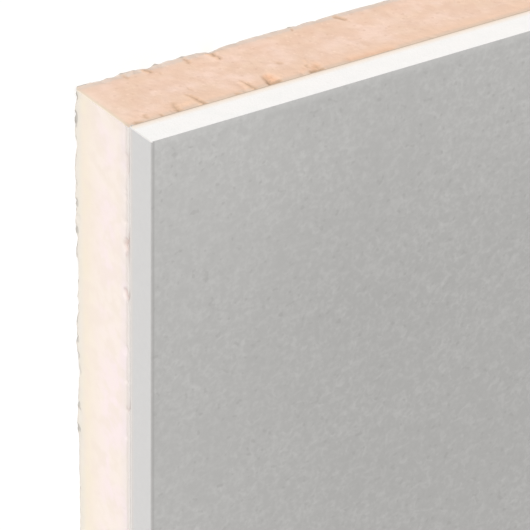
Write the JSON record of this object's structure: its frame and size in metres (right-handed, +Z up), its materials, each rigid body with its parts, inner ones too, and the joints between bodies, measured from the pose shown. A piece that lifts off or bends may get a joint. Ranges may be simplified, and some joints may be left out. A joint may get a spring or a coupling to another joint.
{
  "type": "insulated plasterboard sheet",
  "caption": "Rectangular drywall sheet with rigid foam bonded to its back: grey paper face and bound long edges, with the white core and the salmon foam showing at its cut ends.",
  "frame": {"origin": "middle of the underside, where the sheet lies on the floor", "axes": "+X across the sheet, +Y along it, +Z up through its thickness and out of the paper face"},
  "size_m": [1.2, 2.4, 0.0425],
  "materials": {
    "tissue_facing": "thin bonded tissue, matt",
    "salmon_foam": "sawn closed-cell foam, matt",
    "back_paper": "unbleached board, matt",
    "white_gypsum": "sawn plaster, matt",
    "grey_face_paper": "light grey board, matt"
  },
  "bodies": {
    "root": {"rear_facing": "tissue_facing", "insulation_foam": "salmon_foam", "back_paper": "back_paper", "gypsum_core": "white_gypsum", "face_paper": "grey_face_paper"}
  },
  "joints": []
}
